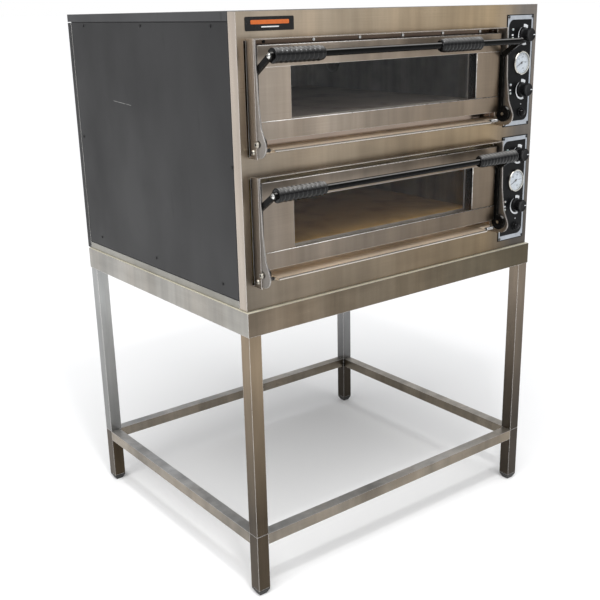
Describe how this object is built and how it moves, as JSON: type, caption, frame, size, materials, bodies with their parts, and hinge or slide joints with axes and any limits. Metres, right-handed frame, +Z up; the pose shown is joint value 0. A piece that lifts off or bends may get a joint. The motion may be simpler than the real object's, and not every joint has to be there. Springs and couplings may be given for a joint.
{
  "type": "pizza oven",
  "caption": "Electric deck pizza oven in stainless steel with stacked chambers, drop-down glazed doors, side controls and an open leg stand.",
  "frame": {"origin": "on the floor, at the middle of the bounding box's base", "axes": "+Z up; the doors and controls face -Y; +X towards the control side"},
  "size_m": [1.01, 0.965, 1.45],
  "materials": {
    "brushed_front": "satin brushed stainless, lengthwise grain",
    "hinge_steel": "bright rolled edge",
    "casing_steel": "dull sheet",
    "dark_paint": "satin charcoal paint with faint smudges",
    "mirror_steel": "mirror-polished stainless",
    "screws": "bright",
    "badge": "gloss black, blank",
    "insulation": "mineral wool",
    "stone": "fine-grained refractory stone",
    "elements": "heat-darkened sheath",
    "glass": "grey tempered glass",
    "lamp_glass": "frosted",
    "dial_glass": "clear",
    "black_metal": "satin black",
    "grip_plastic": "smooth moulded black",
    "springs": "spring wire with black washers",
    "fascia": "printed black field with a silver border",
    "knobs": "black with a white pointer",
    "dial": "chromed bezel round a white dial",
    "needle": "black",
    "buttons": "black",
    "pilot_lenses": "milky lens",
    "control_bodies": "moulded",
    "gland": "nylon",
    "stand_steel": "brushed stainless tube",
    "feet": "scuffed dark plastic"
  },
  "bodies": {
    "oven": {"badge": "badge", "base_tray": "casing_steel", "cable_gland": "gland", "casing_screws": "screws", "chamber_lamps": "lamp_glass", "control_bulkhead": "casing_steel", "control_fascias": "fascia", "dial_glasses": "dial_glass", "door_springs": "springs", "front_panel": "brushed_front", "hinge_bolts": "screws", "indicator_lamps": "pilot_lenses", "insulation": "insulation", "left_side_panel": "dark_paint", "lower_chamber_liner": "mirror_steel", "lower_door_surround": "brushed_front", "lower_heating_elements": "elements", "lower_hinge_plates": "hinge_steel", "lower_sill": "mirror_steel", "lower_stone_floor": "stone", "rear_panel": "casing_steel", "right_side_panel": "dark_paint", "side_frames": "casing_steel", "stand_feet": "feet", "stand_lower_legs": "stand_steel", "stand_lower_rails": "stand_steel", "stand_top_rails": "stand_steel", "stand_upper_legs": "stand_steel", "switch_collars": "buttons", "thermometer_cases": "dial", "thermostat_bodies": "control_bodies", "top_lid": "dark_paint", "upper_chamber_liner": "mirror_steel", "upper_door_surround": "brushed_front", "upper_heating_elements": "elements", "upper_hinge_plates": "hinge_steel", "upper_sill": "mirror_steel", "upper_stone_floor": "stone"},
    "upper_door": {"upper_door_frame": "brushed_front", "upper_door_inner_panel": "brushed_front", "upper_door_glass": "glass", "upper_door_arms": "black_metal", "upper_handle_bar": "black_metal", "upper_bar_screws": "screws", "upper_grips": "grip_plastic"},
    "lower_door": {"lower_door_frame": "brushed_front", "lower_door_inner_panel": "brushed_front", "lower_door_glass": "glass", "lower_door_arms": "black_metal", "lower_handle_bar": "black_metal", "lower_bar_screws": "screws", "lower_grips": "grip_plastic"},
    "upper_top_heat_knob": {"upper_top_heat_knob": "knobs"},
    "upper_floor_heat_knob": {"upper_floor_heat_knob": "knobs"},
    "upper_thermometer_needle": {"upper_thermometer_needle": "needle"},
    "upper_light_button": {"upper_light_button": "buttons"},
    "lower_top_heat_knob": {"lower_top_heat_knob": "knobs"},
    "lower_floor_heat_knob": {"lower_floor_heat_knob": "knobs"},
    "lower_thermometer_needle": {"lower_thermometer_needle": "needle"},
    "lower_light_button": {"lower_light_button": "buttons"}
  },
  "joints": [
    {"name": "upper_door_hinge", "type": "hinge", "parent": "oven", "child": "upper_door", "pos_m": [-0.0635, -0.4185, 1.168], "axis": [1, 0, 0], "range_deg": [0, 90]},
    {"name": "upper_top_heat_knob_turn", "type": "hinge", "parent": "oven", "child": "upper_top_heat_knob", "pos_m": [0.448, -0.3898, 1.3705], "axis": [0, 1, 0], "range_deg": [0, 270]},
    {"name": "upper_floor_heat_knob_turn", "type": "hinge", "parent": "oven", "child": "upper_floor_heat_knob", "pos_m": [0.448, -0.3898, 1.224], "axis": [0, 1, 0], "range_deg": [0, 270]},
    {"name": "upper_needle_turn", "type": "hinge", "parent": "oven", "child": "upper_thermometer_needle", "pos_m": [0.44, -0.3917, 1.296], "axis": [0, 1, 0], "range_deg": [0, 270]},
    {"name": "upper_button_push", "type": "slide", "parent": "oven", "child": "upper_light_button", "axis": [0, 1, 0], "range_m": [0, 0.003], "stiffness_N_per_m": 300},
    {"name": "lower_door_hinge", "type": "hinge", "parent": "oven", "child": "lower_door", "pos_m": [-0.0635, -0.4185, 0.868], "axis": [1, 0, 0], "range_deg": [0, 90]},
    {"name": "lower_top_heat_knob_turn", "type": "hinge", "parent": "oven", "child": "lower_top_heat_knob", "pos_m": [0.448, -0.3898, 1.0435], "axis": [0, 1, 0], "range_deg": [0, 270]},
    {"name": "lower_floor_heat_knob_turn", "type": "hinge", "parent": "oven", "child": "lower_floor_heat_knob", "pos_m": [0.448, -0.3898, 0.897], "axis": [0, 1, 0], "range_deg": [0, 270]},
    {"name": "lower_needle_turn", "type": "hinge", "parent": "oven", "child": "lower_thermometer_needle", "pos_m": [0.44, -0.3917, 0.969], "axis": [0, 1, 0], "range_deg": [0, 270]},
    {"name": "lower_button_push", "type": "slide", "parent": "oven", "child": "lower_light_button", "axis": [0, 1, 0], "range_m": [0, 0.003], "stiffness_N_per_m": 300}
  ]
}
